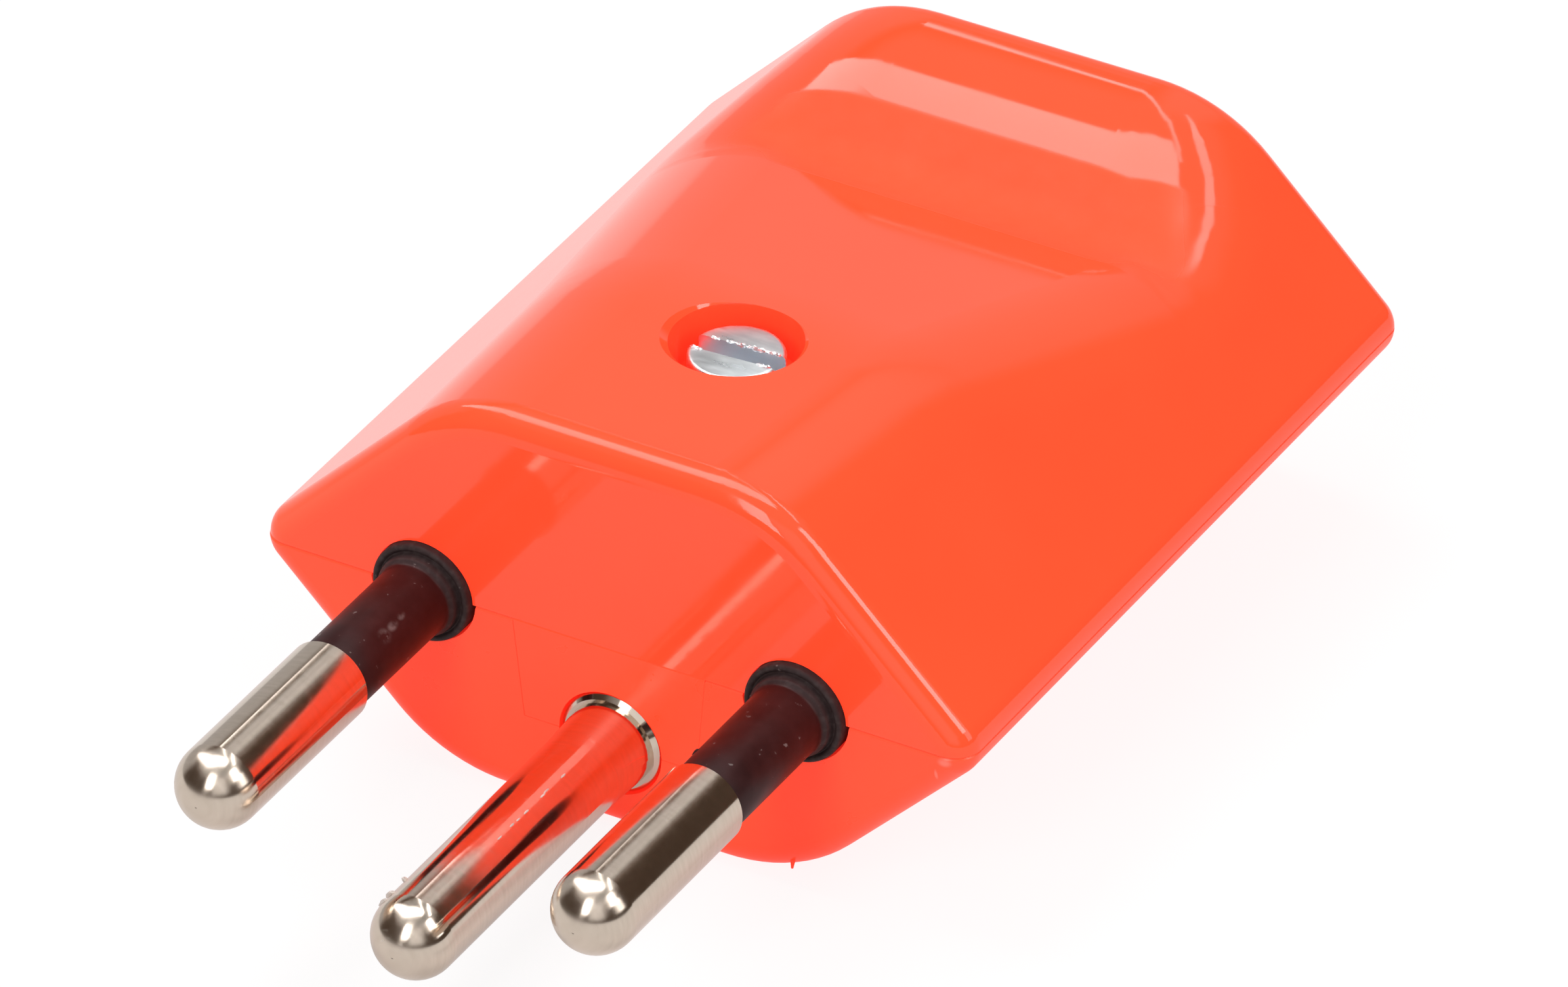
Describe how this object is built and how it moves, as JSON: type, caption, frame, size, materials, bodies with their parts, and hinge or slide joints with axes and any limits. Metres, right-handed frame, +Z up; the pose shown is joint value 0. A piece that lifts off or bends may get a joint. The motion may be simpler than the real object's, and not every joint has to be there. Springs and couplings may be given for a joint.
{
  "type": "type j plug",
  "caption": "Rewirable type J mains plug: glossy orange split housing with sloped sides and finger hollows, sleeved live pins, a bare earth pin and a cord inlet.",
  "frame": {"origin": "bottom centre of the bounding box, on the surface that the lower shell rests on", "axes": "+Z up, +Y from the pins towards the cord inlet, +X to the right seen from the pins"},
  "size_m": [0.036, 0.059, 0.0201],
  "materials": {
    "housing_orange": "glossy moulded",
    "screw_zinc": "zinc plated",
    "bush_brass": "machined",
    "pin_nickel": "nickel plated, polished",
    "sleeve_black": "satin moulded",
    "clamp_plastic": "moulded"
  },
  "bodies": {
    "root": {"upper_shell": "housing_orange", "lower_shell": "housing_orange", "housing_screw": "screw_zinc", "threaded_bush": "bush_brass", "line_pin": "pin_nickel", "neutral_pin": "pin_nickel", "earth_pin": "pin_nickel", "line_pin_sleeve": "sleeve_black", "neutral_pin_sleeve": "sleeve_black", "terminal_screws": "screw_zinc", "cord_clamp": "clamp_plastic", "clamp_screws": "screw_zinc"}
  },
  "joints": []
}
